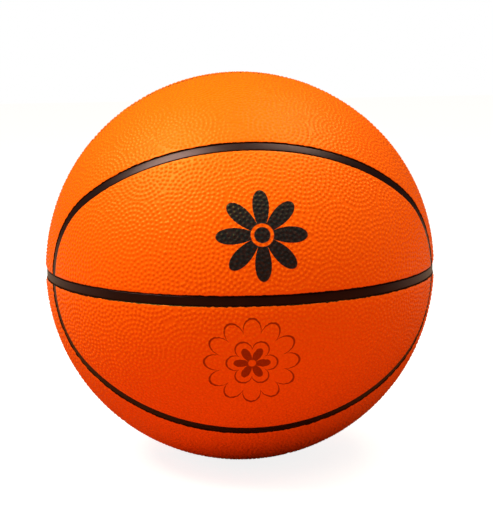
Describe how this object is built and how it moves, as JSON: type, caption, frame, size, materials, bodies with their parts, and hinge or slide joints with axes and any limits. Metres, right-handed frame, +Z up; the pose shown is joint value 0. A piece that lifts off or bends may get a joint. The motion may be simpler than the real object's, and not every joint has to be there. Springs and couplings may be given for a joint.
{
  "type": "basketball",
  "caption": "Inflatable ball with pebbled cover panels, recessed seam strips, wound carcass, bladder and a needle valve with a pull-out plug.",
  "frame": {"origin": "centre of the ball", "axes": "+Z up through the top crossing of the upright seam ring; the waist seam lies in the XY plane, the upright seam in the XZ plane; the two oval loops surround -Y (front) and +Y (back)"},
  "size_m": [0.2408, 0.2408, 0.241],
  "materials": {
    "cover": "satin",
    "seam_rubber": "satin",
    "carcass_rubber": "matte",
    "thread": "matte",
    "butyl": "satin",
    "plug_rubber": "satin"
  },
  "bodies": {
    "ball": {"bladder": "butyl", "balance_patch": "butyl", "valve_boot": "butyl", "winding": "thread", "carcass": "carcass_rubber", "waist_strip": "seam_rubber", "upright_strip_upper": "seam_rubber", "upright_strip_lower": "seam_rubber", "loop_strip_front_upper": "seam_rubber", "loop_strip_front_lower": "seam_rubber", "loop_strip_back_upper": "seam_rubber", "loop_strip_back_lower": "seam_rubber", "oval_panel_front_upper": "cover", "oval_panel_front_lower": "cover", "oval_panel_back_upper": "cover", "oval_panel_back_lower": "cover", "arch_panel_front_upper": "cover", "arch_panel_front_lower": "cover", "arch_panel_back_upper": "cover", "arch_panel_back_lower": "cover"},
    "plug": {"valve_plug": "plug_rubber"}
  },
  "joints": [
    {"name": "plug_pull", "type": "slide", "parent": "ball", "child": "plug", "axis": [0, 0.9272, 0.3746], "range_m": [0, 0.03]}
  ]
}
